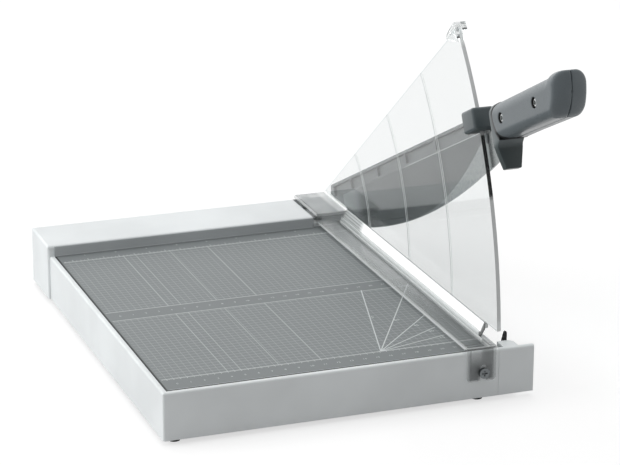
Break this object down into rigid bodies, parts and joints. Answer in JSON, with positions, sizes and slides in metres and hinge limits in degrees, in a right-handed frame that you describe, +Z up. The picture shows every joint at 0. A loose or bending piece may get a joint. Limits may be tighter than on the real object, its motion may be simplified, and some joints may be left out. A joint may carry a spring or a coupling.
{
  "type": "lever paper cutter",
  "caption": "Lever paper cutter: ruled board, steel counter edge, curved blade on an arm that turns on a rear bolt, and a clear paper clamp with a fan-shaped guard.",
  "frame": {"origin": "on the plane the feet stand on, midway between the outermost faces in X and in Y with the arm in its resting place", "axes": "+X to the right along the front wall, +Y to the rear housing, +Z up"},
  "size_m": [0.283, 0.4518, 0.2705],
  "materials": {
    "light_plastic": "fine satin moulding",
    "stop_plastic": "satin",
    "board_print": "printed, satin",
    "blade_steel": "ground",
    "zinc_steel": "zinc plated",
    "arm_metal": "grey satin paint",
    "dark_plastic": "fine grain",
    "grip_plastic": "fine grain",
    "clear_plastic": "polished, clear",
    "black_rubber": "matt",
    "bearing_brass": "turned",
    "dark_sheet": "powder coated"
  },
  "bodies": {
    "base": {"base_tray": "light_plastic", "end_block": "light_plastic", "end_block_screw": "zinc_steel", "cutting_board": "board_print", "counter_edge": "blade_steel", "counter_edge_screws": "zinc_steel", "rear_housing": "light_plastic", "paper_stop": "stop_plastic", "housing_screws": "zinc_steel", "bottom_plate": "dark_sheet", "bottom_screws": "zinc_steel", "feet": "black_rubber", "pivot_plate": "zinc_steel", "pivot_bolt": "zinc_steel", "thrust_washer": "bearing_brass", "disc_spring": "zinc_steel", "lock_nut": "zinc_steel", "clamp_screw": "zinc_steel", "stop_peg": "black_rubber", "return_springs": "zinc_steel"},
    "clamp": {"clamp_rail": "clear_plastic", "guard_fan": "clear_plastic", "guard_stop_clip": "clear_plastic", "clamp_guide_pins": "zinc_steel"},
    "arm": {"blade": "blade_steel", "arm_casting": "arm_metal", "blade_screws": "zinc_steel", "pivot_bush": "bearing_brass", "guide_block": "dark_plastic", "guide_block_screw": "zinc_steel", "finger_guard": "dark_plastic", "handle_left": "grip_plastic", "handle_right": "grip_plastic", "handle_screws": "zinc_steel"}
  },
  "joints": [
    {"name": "arm_pivot", "type": "hinge", "parent": "base", "child": "arm", "pos_m": [0.11925, 0.20586, 0.0333], "axis": [-1, 0, 0], "range_deg": [-22, 8.5]},
    {"name": "clamp_press", "type": "slide", "parent": "base", "child": "clamp", "axis": [0, 0, -1], "range_m": [0, 0.0025], "stiffness_N_per_m": 1000, "springref_m": -0.004, "deforming": ["return_springs"]}
  ]
}
